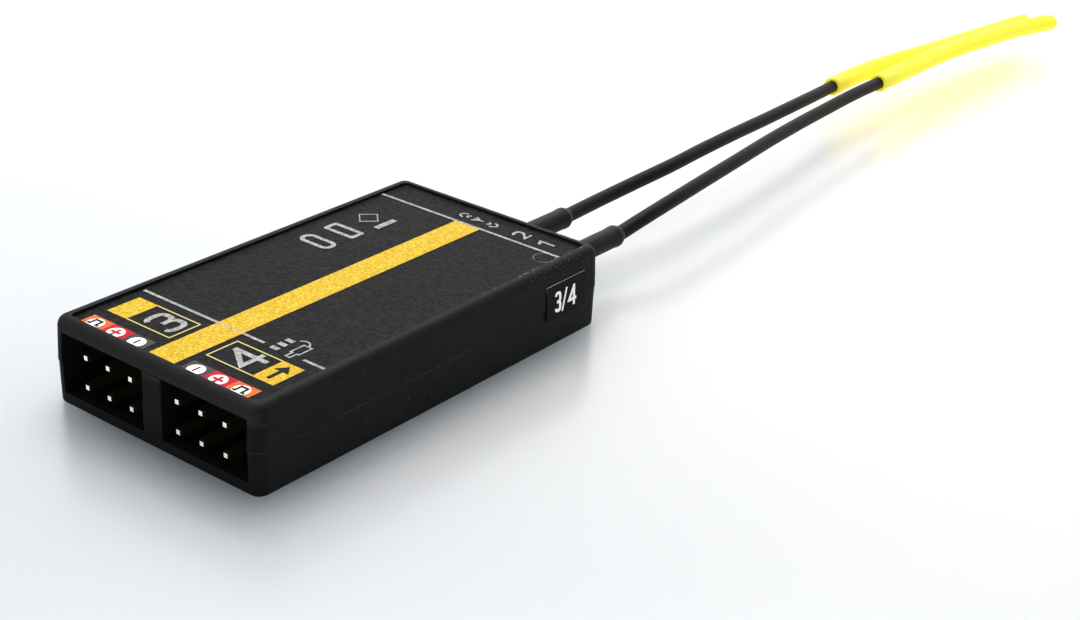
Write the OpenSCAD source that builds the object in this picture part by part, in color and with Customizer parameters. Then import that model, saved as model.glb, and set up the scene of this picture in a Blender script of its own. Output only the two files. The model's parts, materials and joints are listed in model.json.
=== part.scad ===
// Small radio-control receiver: a two-part moulded case with two servo ports, a printed label,
// a circuit board inside and two coax antennas with heat-shrink tips.
// Millimetres. Origin at the bottom centre of the case, +X to the right, -Y the port face,
// +Y the antenna side, +Z up.

/* [Ports] */
// Width of one port opening
port_w = 9.15; // [8.8:0.05:10]
// Height of a port opening, room for two stacked servo plugs
port_h = 5.2; // [5:0.1:6]
// Free depth of a port in front of the pin block
port_depth = 6.8; // [6:0.1:9]
// Width of the divider between the two ports
divider_w = 2.1; // [1.6:0.1:4]
// Set-back of the divider behind the front face
divider_back = 0.1; // [0.1:0.1:1]

/* [Header] */
// Spacing of the pins in both directions
pin_pitch = 2.54; // [2.5:0.01:2.6]
// Side of one square pin
pin_w = 0.64; // [0.5:0.02:0.7]
// Length of the chamfer at a pin's ends
pin_tip = 0.22; // [0.1:0.02:0.4]
// From a port's inner wall to the centre of its first pin
pin_inset = 1.53; // [1.3:0.01:1.8]
// How far the pin tips stay behind the front face
pin_back = 0.3; // [0.1:0.1:1.5]
// Length of the pin tails over the circuit board
pin_tail = 2.2; // [1.5:0.1:3]
// Thickness of the plastic block that holds the pins
block_t = 2.5; // [2:0.1:3]

/* [Case] */
// Side wall beside a port
side_wall = 1.2; // [1:0.1:2]
// Side and rear wall round the circuit board
wall = 1.05; // [0.9:0.05:1.5]
// Floor of the case
floor_t = 1.05; // [0.9:0.05:2]
// Front bar above the ports
front_bar = 1.15; // [1.1:0.05:2]
// Roof under the label
roof_t = 0.75; // [0.6:0.05:0.9]
// Free room between the end of the circuit board and the rear wall
lead_bay = 2.55; // [2.2:0.05:5]
// Radius of the upright corners
corner_r = 1.1; // [1.1:0.1:1.5]
// Height of the top edge's rounding
top_r = 0.95; // [0.6:0.05:0.95]
// Width of the top edge's rounding
top_in = 0.7; // [0.5:0.05:0.95]
// Radius of the bottom edge
bottom_r = 0.3; // [0.2:0.1:0.8]
// Lean of each half's outer walls, as the inset at its far edge
draft = 0.12; // [0.05:0.01:0.12]
// Height of the parting line between the two halves
part_z = 3.7; // [3.6:0.05:3.8]
// Step from the upper half to the lower half at the parting line
part_step = 0.06; // [0.02:0.01:0.12]
// Thickness of the tongue that locates the halves
tongue_t = 0.45; // [0.35:0.05:0.55]
// Height of the tongue
tongue_h = 0.8; // [0.5:0.1:1]
// Radius of the snap ridges on the tongue
snap_r = 0.14; // [0.08:0.02:0.2]
// Length of one snap ridge
snap_l = 6; // [3:1:8]

/* [Label] */
// Width of the rim beside the label
rim_w = 1.15; // [1:0.05:1.6]
// Width of the rim in front of the label
rim_front = 1; // [0.9:0.05:1.6]
// Depth of the recess for the label
recess_d = 0.45; // [0.3:0.05:0.5]
// Thickness of the label film
film_t = 0.23; // [0.1:0.01:0.25]
// Gap round the label film in its recess
film_gap = 0.1; // [0.05:0.05:0.3]
// Thickness of one layer of print
ink_t = 0.03; // [0.02:0.01:0.05]
// Width of the long yellow stripe
stripe_w = 2.76; // [2:0.1:4]
// From the front face to the middle of the front grey line
line_y = 8.12; // [7.8:0.02:9]
// From the label's rear edge to the middle of the rear grey line
line_back = 3.13; // [2.9:0.05:4]
// Width of the grey lines
line_w = 0.28; // [0.15:0.01:0.4]
// From the front face to the near edge of the number boxes
box_y = 3.75; // [3.6:0.05:4]
// Size of a number box along Y
box_d = 3.25; // [3:0.05:3.5]
// Size of a number box along X
box_w = 7.1; // [6.5:0.1:7.4]
// From the middle of the label to a number box
box_x = 2; // [1.8:0.05:2.2]
// Width of the solid field at a box's outer end
field_w = 2.2; // [1.5:0.1:2.5]
// Line width of the number boxes
frame_t = 0.13; // [0.1:0.01:0.3]
// Height of the port numbers
number_h = 3.35; // [2.5:0.05:3.6]
// Height of the antenna numbers
ant_number_h = 1.65; // [1.2:0.05:1.8]
// From the rear grey line to the antenna numbers
ant_number_y = 0.92; // [0.6:0.02:1]
// Height of the plug sign
plug_h = 1; // [0.8:0.05:1.2]
// Line width of the plug sign
plug_line = 0.15; // [0.1:0.01:0.2]
// Line width of the marks on the left half of the label
mark_t = 0.4; // [0.2:0.05:0.5]
// Spacing of the fields of the wiring legend
legend_pitch = 2.36; // [2.2:0.02:2.45]
// From the middle of the label to the first legend field
legend_x = 2.08; // [2:0.02:2.3]
// Depth of the legend fields along Y
legend_d = 1.48; // [1.4:0.02:1.8]
// Radius of the discs in the legend
disc_r = 0.74; // [0.5:0.02:0.8]

/* [Side sticker] */
// Length of the sticker along Y
sticker_l = 5.25; // [4:0.05:7]
// Height of the sticker
sticker_h = 3.1; // [2.5:0.1:4]
// Thickness of the sticker
sticker_t = 0.08; // [0.05:0.01:0.15]
// From the rear wall to the sticker
sticker_back = 2.25; // [1.5:0.05:6]
// Bottom edge of the sticker above the table
sticker_z = 2.7; // [2:0.1:3]

/* [Electronics] */
// From the board's front edge to the controller chip
chip_front = 3.6; // [3.2:0.1:5]
// Gap between the controller chip and the shield can
can_gap = 4; // [2:0.1:5]
// From the shield can to the board's rear edge
can_back = 4.1; // [3.5:0.1:6]
// Length of the circuit board
board_l = 27.3; // [26.5:0.1:34]
// Thickness of the circuit board
board_t = 1.6; // [1.5:0.05:1.7]
// Gap between the pin blocks and the circuit board
board_gap = 0.2; // [0.1:0.05:0.5]
// Gap between the circuit board and the side walls
board_side_gap = 0.45; // [0.3:0.05:0.8]
// Radius of the board's posts
post_r = 0.9; // [0.7:0.05:0.9]
// Radius of the locating pins on the lower posts
locator_r = 0.45; // [0.3:0.05:0.5]
// Side of the square controller chip
chip_w = 6; // [4:0.5:6.5]
// Width of the shield can along X
can_w = 13; // [10:0.5:13.5]
// Height of the shield can
can_h = 1.5; // [1.2:0.05:1.6]
// Sheet thickness of the shield can
can_t = 0.2; // [0.15:0.05:0.3]
// Side of the square radio chip
radio_w = 4; // [3:0.5:4]
// Length of the small chip parts
part_l = 1; // [0.8:0.1:1.2]
// Spacing of the chip capacitors in their row
cap_pitch = 1.6; // [1.4:0.1:1.8]
// Spacing of the chip resistors
resistor_pitch = 1.4; // [1:0.1:2]
// Length of a tantalum capacitor
tantalum_l = 3.5; // [3:0.1:4]
// Width of a tantalum capacitor
tantalum_w = 2.8; // [2:0.1:3]
// Radius of the light hole above the status light
light_hole_r = 0.95; // [0.6:0.05:1]
// From the middle of the case to the status light
light_x = 9.1; // [8.9:0.05:9.2]

/* [Antennas] */
// Outer diameter of the coax lead
lead_d = 1.37; // [1:0.01:1.4]
// Outer diameter of the heat-shrink boot at the wall
boot_d = 1.96; // [1.9:0.02:2.2]
// Length of the boot outside the rear wall
boot_out = 10; // [6:0.5:10]
// Length of the boot inside the rear wall
boot_in = 0.95; // [0.5:0.05:1.1]
// Length of the metal ferrule on the coax inside
ferrule_l = 1.3; // [1:0.1:1.3]
// Outer diameter of the ferrule
ferrule_d = 2.3; // [2:0.1:2.6]
// Outer diameter of the yellow tip sleeve
sleeve_d = 2.1; // [1.9:0.05:2.1]
// Length of the yellow sleeve on the right-hand antenna
sleeve_l_1 = 43.5; // [30:0.5:46]
// Length of the yellow sleeve on the left-hand antenna
sleeve_l_2 = 44.5; // [30:0.5:46]
// How deep a lead reaches into its sleeve
sleeve_grip = 3; // [2:0.5:6]
// Spacing of the rings along a lead
ring_step = 3.6; // [2.7:0.1:4.1]

/* [Hidden] */

$fn = 36;
// Overlap of a cut past the face that it opens
cut = 0.5;
// Clearance of pieces that seat in each other
fit = 0.05;
// Clearance of a pin in its block
pin_fit = 0.02;
// Rounding of the divider's edges
divider_r = 0.15;

// Overall sizes follow from what the case holds
case_w = 2 * (side_wall + port_w) + divider_w;
bay_front = port_depth + block_t;
case_l = bay_front + board_gap + board_l + lead_bay + wall;
port_top = floor_t + port_h;
case_h = port_top + front_bar;
front = -case_l / 2;
rear = case_l / 2;

// Heights of the board, the roof and the label
board_mid = floor_t + port_h / 2 - 2 * fit;
board_z = board_mid - board_t / 2;
board_top = board_mid + board_t / 2;
recess_z = case_h - recess_d;
ceiling_z = recess_z - roof_t;
film_top = recess_z + film_t;

// Board outline and posts
board_front = front + bay_front + board_gap;
board_rear = board_front + board_l;
board_half = case_w / 2 - wall - board_side_gap;
post_x = board_half - post_r;
post_ys = [board_front + 2.3, board_rear - 5.2];

// Electronics: the can fills what the chip and the two gaps leave of the board
chip_mid = board_front + chip_front + chip_w / 2;
can_l = board_l - chip_front - chip_w - can_gap - can_back;
can_y = board_rear - can_back - can_l;
cap_y = can_y - can_gap / 3;
light_y = board_rear - 1.55;

// Label outline
film_half = case_w / 2 - rim_w - film_gap;
film_front = front + rim_front + film_gap;
film_rear = rear - rim_w - film_gap + 0.1;
rear_line = film_rear - line_back;
legend_y = film_front + 0.04;
disc_y = legend_y + 0.36 * legend_d;

// Antennas: x of each exit, height of both, and the hand-laid points behind each boot
ant_x = [6, 0];
ant_z = 3.7;
lead_start = board_rear + ferrule_l;
route_1 = [[6, 26, 3.7], [6, 30, 3.7], [6.03, 30.88, 3.76], [6.34, 34.45, 4.42],
    [6.35, 39.31, 4.88], [5.99, 45.34, 5.12], [5.53, 51.39, 5.26], [4.83, 57.81, 5.23],
    [4.22, 64.2, 5.14], [3.66, 70.84, 4.99], [3.23, 77.49, 4.89], [2.9, 84.42, 4.68],
    [2.51, 91.58, 4.44], [2.19, 98.83, 4.19], [2.25, 106.01, 3.96], [2.62, 112.09, 3.73],
    [3.07, 118.02, 3.51], [3.92, 123.82, 3.23], [4.66, 126.71, 3.09]];
route_2 = [[0, 26, 3.7], [0, 30, 3.7], [-0.05, 31, 3.7], [-0.12, 35.74, 3.78],
    [0.18, 40.86, 4.09], [0.57, 46.45, 4.46], [0.49, 52.37, 4.64], [0.32, 58.37, 4.65],
    [0.01, 64.7, 4.5], [-0.34, 71.08, 4.37], [-0.94, 77.7, 4.08], [-1.47, 84.37, 3.88],
    [-1.59, 90.21, 3.71], [-1.19, 96.36, 3.5], [-0.51, 103.73, 3.25], [0.24, 111.98, 3.09],
    [0.99, 119.07, 3], [1.7, 124.84, 3.02]];

// y of a place that is given by its distance behind the front face
function fy(d) = front + d;

// Direction of one leg of a line
function leg(p, q) = (q - p) / norm(q - p);

// Point beside the line of points, at the distance d to its left
function beside(pts, i, d) =
    let (last = len(pts) - 1,
        a = i == 0 ? leg(pts[0], pts[1]) : leg(pts[i - 1], pts[i]),
        b = i == last ? a : leg(pts[i], pts[i + 1]),
        m = (a + b) / norm(a + b))
    pts[i] + d / max(0.5, m * a) * [-m[1], m[0]];

// Points on an elliptic arc
function arc(cx, cy, rx, ry, a0, a1, n = 14) =
    [for (i = [0:n]) let (a = a0 + (a1 - a0) * i / n) [cx + rx * cos(a), cy + ry * sin(a)]];

// Points on a bow with squarer corners than an ellipse
function bow(cx, cy, rx, ry, a0, a1, n = 18) =
    [for (i = [0:n]) let (a = a0 + (a1 - a0) * i / n, c = cos(a), s = sin(a))
        [cx + rx * sign(c) * pow(abs(c), 0.7), cy + ry * sign(s) * pow(abs(s), 0.7)]];

// Rounded path through points, and its place and direction at a share t of one span
function spline(p, i, t) =
    let (n = len(p) - 1, a = p[max(i - 1, 0)], b = p[i], c = p[min(i + 1, n)], d = p[min(i + 2, n)])
    0.5 * (2 * b + (c - a) * t + (2 * a - 5 * b + 4 * c - d) * pow(t, 2)
        + (3 * b - 3 * c + d - a) * pow(t, 3));
function finely(p, n = 12) =
    concat([for (i = [0:len(p) - 2], k = [0:n - 1]) spline(p, i, k / n)], [p[len(p) - 1]]);
function run_lengths(p, i = 1, sum = [0]) =
    i == len(p) ? sum : run_lengths(p, i + 1, concat(sum, [sum[i - 1] + norm(p[i] - p[i - 1])]));
function last_below(s, at, lo, hi) =
    hi - lo <= 1 ? lo : let (mid = floor((lo + hi) / 2))
        s[mid] <= at ? last_below(s, at, mid, hi) : last_below(s, at, lo, mid);
function place(p, s, at) =
    let (i = last_below(s, min(at, s[len(s) - 1] - 0.0001), 0, len(s) - 1),
        t = (at - s[i]) / (s[i + 1] - s[i]))
    p[i] + (p[i + 1] - p[i]) * t;
function heading(p, s, at) =
    leg(place(p, s, max(at - 0.4, 0)), place(p, s, min(at + 0.4, s[len(s) - 1])));

// Ring of points across the path
function ring(c, d, r, sides) =
    let (u = cross(d, [0, 0, 1]) / norm(cross(d, [0, 0, 1])), v = cross(u, d))
    [for (k = [0:sides - 1]) let (a = 360 * (k + 0.5) / sides) c + r * (cos(a) * u + sin(a) * v)];

// Tube along a path, from a list of [distance along it, radius]
module swept(p, profile, sides) {
    s = run_lengths(p);
    n = len(profile);
    points = [for (q = profile) each ring(place(p, s, q[0]), heading(p, s, q[0]), q[1], sides)];
    walls = [for (i = [0:n - 2], k = [0:sides - 1]) let (j = (k + 1) % sides)
        [i * sides + k, i * sides + j, (i + 1) * sides + j, (i + 1) * sides + k]];
    ends = [[for (k = [sides - 1:-1:0]) k], [for (k = [0:sides - 1]) (n - 1) * sides + k]];
    polyhedron(points, concat(walls, ends), convexity = 6);
}

// Full path of an antenna, from its ferrule to its tip
function antenna_path(i) =
    let (x = ant_x[i])
    finely(concat([[x, lead_start, ant_z], [x, rear, ant_z]], i == 0 ? route_1 : route_2));
path_1 = antenna_path(0);
path_2 = antenna_path(1);
function path_of(i) = i == 0 ? path_1 : path_2;
function path_length(i) = let (s = run_lengths(path_of(i))) s[len(s) - 1];
function sleeve_length(i) = i == 0 ? sleeve_l_1 : sleeve_l_2;

// Stroke of even width along 2-D points
module ribbon(pts, t) {
    last = len(pts) - 1;
    polygon(concat([for (i = [0:last]) beside(pts, i, t / 2)],
        [for (i = [last:-1:0]) beside(pts, i, -t / 2)]));
}

// Rounded rectangle between two corners
module plate_2d(x0, y0, x1, y1, r) {
    translate([x0 + r, y0]) square([x1 - x0 - 2 * r, y1 - y0]);
    translate([x0, y0 + r]) square([x1 - x0, y1 - y0 - 2 * r]);
    for (x = [x0 + r, x1 - r], y = [y0 + r, y1 - r]) translate([x, y]) circle(r);
}

// Upright block with rounded corners
module plate(x0, y0, x1, y1, z0, z1, r) {
    translate([0, 0, z0]) linear_extrude(z1 - z0) plate_2d(x0, y0, x1, y1, r);
}

// Plain block between two corners
module block(x0, y0, z0, x1, y1, z1) {
    translate([x0, y0, z0]) cube([x1 - x0, y1 - y0, z1 - z0]);
}

// Four rounded corner posts of the case, joined to one outer body
module case_body(profile) {
    hull() for (x = [-1, 1], y = [-1, 1])
        translate([x * (case_w / 2 - corner_r), y * (case_l / 2 - corner_r)])
            rotate_extrude($fn = 32) polygon(profile);
}

upper_profile = concat([[0, part_z], [corner_r, part_z]],
    arc(corner_r - draft - top_in, case_h - top_r, top_in, top_r, 0, 90, 8), [[0, case_h]]);
lower_profile = concat([[0, 0]],
    arc(corner_r - draft - bottom_r, bottom_r, bottom_r, bottom_r, -90, 0, 6),
    [[corner_r - part_step, part_z], [0, part_z]]);

// Room round the circuit board, with the side walls inset by in
module bay(in, z0, z1) {
    plate(-case_w / 2 + in, front + bay_front, case_w / 2 - in, rear - in, z0, z1, corner_r / 2);
}

// Holes for the antenna boots in the rear wall
module boot_holes() {
    for (x = ant_x) translate([x, rear + cut, ant_z]) rotate([90, 0, 0])
        cylinder(h = wall + 2 * cut, r = boot_d / 2 + fit);
}

module snap_ridges(r) {
    at_x = case_w / 2 - wall + tongue_t;
    for (x = [-at_x, at_x], y = [board_front + board_l / 4, board_front + board_l * 3 / 4])
        translate([x, y + snap_l / 2, part_z + tongue_h / 2]) rotate([90, 0, 0])
            cylinder(h = snap_l, r = r, $fn = 24);
}

module upper_case() color([0.07, 0.07, 0.075]) {
    side = case_w / 2 - side_wall;
    difference() {
        case_body(upper_profile);
        block(-side, front - cut, part_z - cut, side, front + bay_front + fit, port_top);
        bay(wall, part_z - cut, ceiling_z);
        bay(wall - tongue_t - fit, part_z - cut, part_z + tongue_h + fit);
        snap_ridges(snap_r + fit);
        plate(-case_w / 2 + rim_w, front + rim_front, case_w / 2 - rim_w, rear - rim_w + 0.1,
            recess_z, case_h + cut, 0.5);
        boot_holes();
        translate([light_x, light_y, ceiling_z - cut])
            cylinder(h = roof_t + 2 * cut, r = light_hole_r);
    }
    for (x = [-post_x, post_x], y = post_ys) translate([x, y, board_top + fit])
        cylinder(h = ceiling_z - board_top - fit + 0.01, r = post_r, $fn = 24);
}

module lower_case() color([0.075, 0.075, 0.08]) {
    side = case_w / 2 - side_wall;
    difference() {
        union() {
            case_body(lower_profile);
            difference() {
                bay(wall - tongue_t, part_z - 0.01, part_z + tongue_h);
                bay(wall, part_z - cut, part_z + tongue_h + cut);
                block(-case_w, front, part_z - cut, case_w, front + bay_front + wall, case_h);
            }
            snap_ridges(snap_r);
        }
        for (x = [-side, divider_w / 2])
            block(x, front - cut, floor_t, x + port_w, front + bay_front + fit, part_z + cut);
        block(-divider_w, front - cut, floor_t, divider_w, front + divider_back, part_z + cut);
        bay(wall, floor_t, part_z + cut);
        boot_holes();
    }
    plate(-divider_w / 2, front + divider_back, divider_w / 2, front + bay_front,
        floor_t - 0.01, port_top - fit, divider_r);
    for (x = [-post_x, post_x], y = post_ys) translate([x, y, floor_t - 0.01]) {
        cylinder(h = board_z - floor_t + 0.01, r = post_r, $fn = 24);
        cylinder(h = board_z - floor_t + board_t * 0.75, r = locator_r, $fn = 24);
    }
}

module label_film() color([0.09, 0.09, 0.095])
    plate(-film_half, film_front, film_half, film_rear, recess_z, film_top, 0.4);

// Print of one layer, counted from the film
module ink(layer = 0) {
    translate([0, 0, film_top + layer * ink_t]) linear_extrude(ink_t) children();
}

// Both number boxes: the right one, and the left one as its mirror image
module both_sides() {
    children();
    mirror([1, 0]) children();
}

// Local axes for figures that are read along +Y, with their top towards -X
module read_along_y(x, y) {
    translate([x, y]) rotate(90) children();
}

module front_lines_2d() {
    ends = [[-film_half + 0.3, box_x + 1.7], [box_x + box_w - 1.27, film_half - 0.15]];
    for (e = ends) translate([e[0], fy(line_y) - line_w / 2]) square([e[1] - e[0], line_w]);
}

module yellow_print() color([0.93, 0.72, 0.13]) {
    ink() difference() {
        translate([-stripe_w / 2, film_front]) square([stripe_w, rear_line - line_w / 2 - film_front]);
        front_lines_2d();
    }
    ink() both_sides() {
        difference() {
            translate([box_x, fy(box_y)]) square([box_w, box_d]);
            translate([box_x + frame_t, fy(box_y) + frame_t])
                square([box_w - field_w - frame_t, box_d - 2 * frame_t]);
        }
    }
}

// Figures, each standing on y = 0 with its left edge at x = 0
module figure_one(h, w, t) {
    ribbon([[0, 0.74 * h], [w - t / 2, h - t / 2], [w - t / 2, 0]], t);
}
module figure_two(h, w, t) {
    r = (w - t) / 2;
    ribbon(concat(bow(w / 2, h - t / 2 - r, r, r, 165, -30), [[t * 0.6, t / 2], [w, t / 2]]), t);
}
module figure_three(h, w, t) {
    rx = (w - t) / 2;
    ry = (h - t) / 4;
    waist = [w / 2 - 0.15 * w, h / 2];
    ribbon(concat(bow(w / 2, h - t / 2 - ry, rx, ry, 165, -90), [waist]), t);
    ribbon(concat([waist], bow(w / 2, t / 2 + ry, rx, ry, 90, -165)), t);
}
module figure_four(h, w, t) {
    stem = 0.72 * w;
    ribbon([[stem, 0], [stem, h]], t);
    ribbon([[stem, h - t / 2], [t / 2, 0.3 * h], [w, 0.3 * h]], t);
}

// Wave arcs on both sides of a mast, for the antenna exits
module antenna_sign_2d(h, w, t) {
    ribbon([[w / 2, -0.12 * h], [w / 2, 0.12 * h]], t);
    ribbon([[0.1 * w, 0.12 * h], [w / 2, -0.02 * h], [0.9 * w, 0.12 * h]], t);
    for (side = [0, 1]) mirror([0, side]) for (k = [1, 2])
        ribbon(arc(w / 2, 0.12 * h, 0.28 * w * k, 0.17 * h * k, 40, 140, 8), t);
}

// Plain plug outline with its cable
module plug_sign_2d(h, t) {
    nose = 0.75 * h;
    body = 1.55 * h;
    difference() {
        union() {
            translate([0, 0.2 * h]) square([h, 0.6 * h]);
            translate([nose, 0]) square([body, h]);
        }
        translate([t, 0.2 * h + t]) square([h, 0.6 * h - 2 * t]);
        translate([nose + t, t]) square([body - 2 * t, h - 2 * t]);
    }
    ribbon(arc(2.2 * h, 1.1 * h, 0.6 * h, 0.6 * h, -80, 60, 8), t);
}

module grey_print() color([0.72, 0.72, 0.7]) {
    ink() {
        front_lines_2d();
        translate([-film_half, rear_line - line_w / 2]) square([2 * film_half, line_w]);
        read_along_y(-box_x - 0.55, fy(box_y) + 0.45) figure_three(number_h, 0.7 * number_h, 0.48);
        read_along_y(box_x + 4.25, fy(box_y) + 0.35)
            figure_four(number_h + 0.15, 0.77 * number_h, 0.48);
        read_along_y(0.55 * film_half, rear_line + ant_number_y)
            figure_two(ant_number_h, 0.66 * ant_number_h, ant_number_h / 6.5);
        read_along_y(0.82 * film_half, rear_line + ant_number_y + 0.05 * ant_number_h)
            figure_one(ant_number_h, 0.42 * ant_number_h, ant_number_h / 6.5);
        read_along_y(0, rear_line + ant_number_y)
            antenna_sign_2d(2.7 * ant_number_h, 0.62 * ant_number_h, ant_number_h / 8.5);
        read_along_y(0.7 * film_half, fy(line_y) - 0.5 * plug_h) plug_sign_2d(plug_h, plug_line);
        for (k = [0:2]) read_along_y(0.52 * film_half, fy(line_y) + (0.8 * k - 0.27) * plug_h)
            square([0.45 * plug_h, 0.8 * plug_h]);
        plain_marks_2d();
    }
}

// Frame of even line width between two corners
module frame_2d(x0, y0, x1, y1, r, t) {
    difference() {
        plate_2d(x0, y0, x1, y1, r);
        plate_2d(x0 + t, y0 + t, x1 - t, y1 - t, max(r - t, 0.1));
    }
}

// Plain marks, placed along the label from its rear line
module plain_marks_2d() {
    $fn = 24;
    left = -film_half + 1.55;
    y = rear_line - 12.45;
    frame_2d(left, y, left + 3.6, y + 4.1 * mark_t, 2 * mark_t, mark_t);
    frame_2d(left, y + 3.2, left + 3.5, y + 3.2 + 4.1 * mark_t, 0.75 * mark_t, mark_t);
    translate([left + 1.35, y + 7.55]) rotate(45) difference() {
        square(4.2 * mark_t, center = true);
        square(3.6 * mark_t, center = true);
    }
    translate([left + 3.05, y + 6.35]) square([1.5 * mark_t, 6 * mark_t]);
}

// One field of the legend, counted outwards from the middle of the label
module legend_field_2d(k) {
    translate([legend_x + k * legend_pitch, legend_y]) square([legend_pitch, legend_d]);
}
function legend_mid(k) = legend_x + (k + 0.5) * legend_pitch;

module dark_print() color([0.28, 0.25, 0.25])
    ink() both_sides() legend_field_2d(0);

module red_print() color([0.82, 0.1, 0.14]) {
    ink() both_sides() legend_field_2d(1);
    ink(2) both_sides() translate([legend_mid(1), disc_y]) {
        square([0.98, 0.23], center = true);
        square([0.23, 0.98], center = true);
    }
}

module orange_print() color([0.93, 0.4, 0.14])
    ink() both_sides() legend_field_2d(2);

module white_print() color([0.93, 0.92, 0.9])
    ink(1) both_sides() for (k = [0:2]) intersection() {
        translate([legend_mid(k), disc_y]) circle(disc_r, $fn = 24);
        legend_field_2d(k);
    }

module black_print() color([0.05, 0.05, 0.05]) {
    ink(2) both_sides() {
        translate([legend_mid(0), disc_y + 0.04]) square([0.14, 0.78], center = true);
        translate([legend_mid(2), disc_y - 0.33]) ribbon([[-0.6, 0.06], [-0.33, 0.06],
            [-0.33, 0.75], [0.33, 0.75], [0.33, 0.06], [0.6, 0.06]], 0.2);
    }
    ink(1) read_along_y(box_x + box_w - field_w / 2, fy(box_y) + box_d / 2) {
        ribbon([[-1.1, 0], [0.6, 0]], 0.34);
        polygon([[0.3, -0.7], [1.2, 0], [0.3, 0.7]]);
    }
}

// Wall sticker across the parting line, and its number
module on_right_wall() {
    lean = atan(draft / (case_h - top_r - part_z));
    translate([case_w / 2, rear - sticker_back - sticker_l, part_z]) rotate([0, -lean, 0])
        translate([0, 0, sticker_z - part_z]) rotate([90, 0, 90]) children();
}
module side_sticker() color([0.06, 0.06, 0.06])
    on_right_wall() linear_extrude(sticker_t) plate_2d(0, 0, sticker_l, sticker_h, 0.12);

module sticker_number() color([0.95, 0.95, 0.95])
    on_right_wall() translate([0, 0, sticker_t]) linear_extrude(ink_t) {
        h = 0.6 * sticker_h;
        translate([1.05, 0.5]) figure_three(h, 0.85, 0.26);
        translate([2.05, 0.4]) ribbon([[0, 0], [0.6, h + 0.15]], 0.18);
        translate([2.85, 0.5]) figure_four(h, 1.12, 0.25);
    }

// Centre of a pin, by its side of the case, its column and its row
function pin_x(side, k) = side * (divider_w / 2 + pin_inset + k * pin_pitch);
function pin_z(row) = board_mid + (row - 0.5) * pin_pitch;

// Square pin along +Y with both ends chamfered
module pin(l) {
    r = pin_w / 2;
    small = r - 0.6 * pin_tip;
    outline = [[0, small], [pin_tip, r], [l - pin_tip, r], [l, small],
        [l, -small], [l - pin_tip, -r], [pin_tip, -r], [0, -small]];
    intersection() {
        translate([0, 0, -pin_w]) linear_extrude(2 * pin_w) rotate(90) polygon(outline);
        translate([-pin_w, 0, 0]) rotate([90, 0, 90]) linear_extrude(2 * pin_w) polygon(outline);
    }
}

module pins(side) color([0.83, 0.68, 0.36])
    for (k = [0:2], row = [0, 1]) translate([pin_x(side, k), front + pin_back, pin_z(row)])
        pin(bay_front - pin_back + pin_tail);
module pins_left() pins(-1);
module pins_right() pins(1);

module pin_block(side) color([0.06, 0.06, 0.06]) {
    mid = side * (divider_w + port_w) / 2;
    hole = pin_w / 2 + pin_fit;
    difference() {
        block(mid - port_w / 2 + fit, front + port_depth, floor_t + fit,
            mid + port_w / 2 - fit, front + bay_front, port_top - fit);
        for (k = [0:2], row = [0, 1])
            translate([pin_x(side, k) - hole, front, pin_z(row) - hole]) cube([2 * hole, -front, 2 * hole]);
    }
}
module pin_block_left() pin_block(-1);
module pin_block_right() pin_block(1);

// Solder between each pin tail and its pad, above and below the board
module pin_solder() color([0.75, 0.76, 0.78]) {
    gap = pin_pitch / 2 - pin_w / 2 - board_t / 2;
    for (side = [-1, 1], k = [0:2], row = [0, 1])
        translate([pin_x(side, k) - pin_w / 2, board_front, row == 0 ? board_z - gap : board_top])
            cube([pin_w, pin_tail - board_gap - pin_tip, gap]);
}

module circuit_board() color([0.05, 0.27, 0.16])
    difference() {
        plate(-board_half, board_front, board_half, board_rear, board_z, board_top, 0.5);
        for (x = [-post_x, post_x], y = post_ys) translate([x, y, board_z - cut])
            cylinder(h = board_t + 2 * cut, r = locator_r + 0.1);
    }

module controller_chip() color([0.1, 0.1, 0.11])
    translate([-1.5, chip_mid, board_top]) difference() {
        plate(-chip_w / 2, -chip_w / 2, chip_w / 2, chip_w / 2, 0, 0.9, 0.1);
        translate([-chip_w / 2 + 0.8, chip_w / 2 - 0.8, 0.85]) cylinder(h = 0.2, r = 0.3);
    }

module shield_can() color([0.72, 0.73, 0.75])
    translate([-1.2, can_y, board_top]) difference() {
        plate(-can_w / 2, 0, can_w / 2, can_l, 0, can_h, 0.4);
        plate(-can_w / 2 + can_t, can_t, can_w / 2 - can_t, can_l - can_t, -cut, can_h - can_t, 0.3);
        for (x = [-can_w / 2, can_w / 2]) translate([x, can_l / 2, 0]) cube([1, 1.2, 0.8], center = true);
    }

module radio_chip() color([0.1, 0.1, 0.11])
    translate([-1.2, can_y + can_l / 2, board_top])
        plate(-radio_w / 2, -radio_w / 2, radio_w / 2, radio_w / 2, 0, 0.9, 0.1);

module crystal() color([0.78, 0.78, 0.8])
    translate([5.6, chip_mid, board_top]) {
        plate(-1.25, -1.6, 1.25, 1.6, 0, 0.3, 0.15);
        plate(-1.1, -1.45, 1.1, 1.45, 0.29, 0.75, 0.3);
    }

module voltage_regulator() color([0.1, 0.1, 0.1])
    translate([-4.2, chip_mid + 0.9, board_z - 1.4]) {
        plate(-2.2, -1.3, 2.2, 1.3, 0, 1.35, 0.15);
        for (x = [-1.5, 0, 1.5]) translate([x - 0.25, -2.2, 1.2]) cube([0.5, 1, 0.2]);
        translate([-0.9, 1.2, 1.2]) cube([1.8, 0.9, 0.2]);
    }

// Small two-ended part, lying along X
module chip_part(l, w, h) {
    translate([-l / 2 + 0.1, -w / 2 + 0.02, 0.02]) cube([l - 0.2, w - 0.04, h - 0.04]);
    for (x = [-l / 2, l / 2 - 0.2]) translate([x, -w / 2, 0]) cube([0.2, w, h]);
}

module tantalum_capacitors() color([0.85, 0.6, 0.2])
    for (k = [0, 1]) translate([1.5 * tantalum_w, chip_mid + (0.2 + 2 * k) * tantalum_w, board_z - 1.45])
        chip_part(tantalum_l, tantalum_w, 1.45);

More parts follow.
